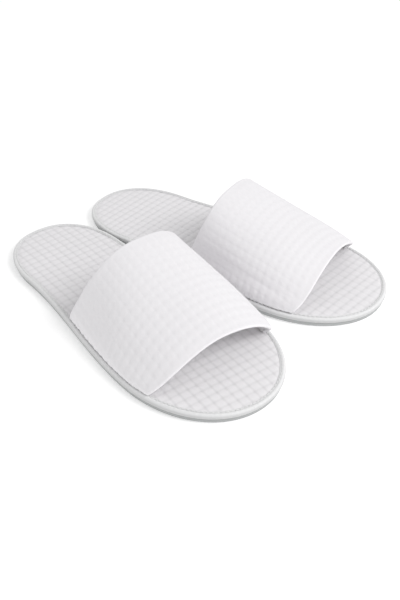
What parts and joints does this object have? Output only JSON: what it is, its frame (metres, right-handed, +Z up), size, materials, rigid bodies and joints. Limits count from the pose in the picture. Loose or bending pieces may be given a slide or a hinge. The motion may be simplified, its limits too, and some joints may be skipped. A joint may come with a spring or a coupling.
{
  "type": "spa slippers",
  "caption": "Pair of open-toe spa slippers: waffle fabric band over the forefoot, padded waffle insole, bound edge and thin foam outsole.",
  "frame": {"origin": "centre of the pair's bounding box, on the floor", "axes": "+Z up, toes towards -Y, the wearer's left slipper on the +X side"},
  "size_m": [0.2438, 0.2786, 0.0675],
  "materials": {
    "waffle_fabric": "waffle weave",
    "insole_fabric": "waffle weave",
    "binding_tape": "soft",
    "lining_fabric": "brushed",
    "foam": "open-cell",
    "eva_sole": "matte",
    "thread": "spun"
  },
  "bodies": {
    "right_slipper": {"right_outsole_heel": "eva_sole", "right_pad_heel": "foam", "right_insole_heel": "insole_fabric", "right_binding_heel": "binding_tape", "right_seam_heel": "thread", "right_upper_shell": "waffle_fabric", "right_upper_foam": "foam", "right_upper_lining": "lining_fabric", "right_throat_edge": "binding_tape", "right_toe_edge": "binding_tape"},
    "right_toe": {"right_outsole_toe": "eva_sole", "right_pad_toe": "foam", "right_insole_toe": "insole_fabric", "right_binding_toe": "binding_tape", "right_seam_toe": "thread"},
    "left_slipper": {"left_outsole_heel": "eva_sole", "left_pad_heel": "foam", "left_insole_heel": "insole_fabric", "left_binding_heel": "binding_tape", "left_seam_heel": "thread", "left_upper_shell": "waffle_fabric", "left_upper_foam": "foam", "left_upper_lining": "lining_fabric", "left_throat_edge": "binding_tape", "left_toe_edge": "binding_tape"},
    "left_toe": {"left_outsole_toe": "eva_sole", "left_pad_toe": "foam", "left_insole_toe": "insole_fabric", "left_binding_toe": "binding_tape", "left_seam_toe": "thread"}
  },
  "joints": [
    {"name": "left_slipper_lift", "type": "slide", "parent": "right_slipper", "child": "left_slipper", "axis": [0, 0, 1], "range_m": [0, 0.15]},
    {"name": "right_toe_flex", "type": "hinge", "parent": "right_slipper", "child": "right_toe", "pos_m": [-0.0624, -0.05959, 0.0086], "axis": [-0.993, 0.1184, 0], "range_deg": [0, 35], "stiffness_Nm_per_rad": 0.15, "deforming": ["right_upper_shell", "right_upper_foam", "right_upper_lining", "right_throat_edge", "right_toe_edge"]},
    {"name": "left_toe_flex", "type": "hinge", "parent": "left_slipper", "child": "left_toe", "pos_m": [0.0624, -0.05959, 0.0086], "axis": [-0.993, -0.1184, 0], "range_deg": [0, 35], "stiffness_Nm_per_rad": 0.15, "deforming": ["left_upper_shell", "left_upper_foam", "left_upper_lining", "left_throat_edge", "left_toe_edge"]}
  ]
}
